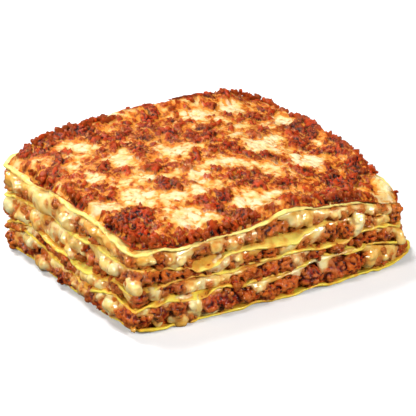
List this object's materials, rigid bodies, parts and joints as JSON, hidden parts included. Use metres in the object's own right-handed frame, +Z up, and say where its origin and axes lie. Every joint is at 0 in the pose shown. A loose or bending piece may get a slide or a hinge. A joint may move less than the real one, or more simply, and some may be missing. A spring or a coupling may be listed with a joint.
{
  "type": "lasagne slice",
  "caption": "Rectangular slice of baked lasagne: wavy pasta sheets with meat ragu and white sauce between them, under a browned topping of cheese and mince.",
  "frame": {"origin": "centre of the slice's bounding box, on the floor that it lies on", "axes": "+X along the long cut side that faces the viewer, to the right; +Y away from the viewer along the short cut side; +Z up, through the layers"},
  "size_m": [0.1362, 0.1084, 0.045],
  "materials": {
    "pasta": "soft and slightly oily, cooked yellow egg pasta",
    "ragu": "moist red-brown mince in tomato sauce",
    "sauce": "glossy cream-coloured white sauce with melted cheese",
    "topping": "melted golden cheese, browned in spots, over crumbs of baked mince"
  },
  "bodies": {
    "root": {"pasta_sheet_1": "pasta", "pasta_sheet_2": "pasta", "pasta_sheet_3": "pasta", "pasta_sheet_4": "pasta", "pasta_sheet_5": "pasta", "ragu_1": "ragu", "ragu_2": "ragu", "ragu_3": "ragu", "ragu_4": "ragu", "white_sauce_1": "sauce", "white_sauce_2": "sauce", "white_sauce_3": "sauce", "white_sauce_4": "sauce", "baked_topping": "topping"}
  },
  "joints": []
}
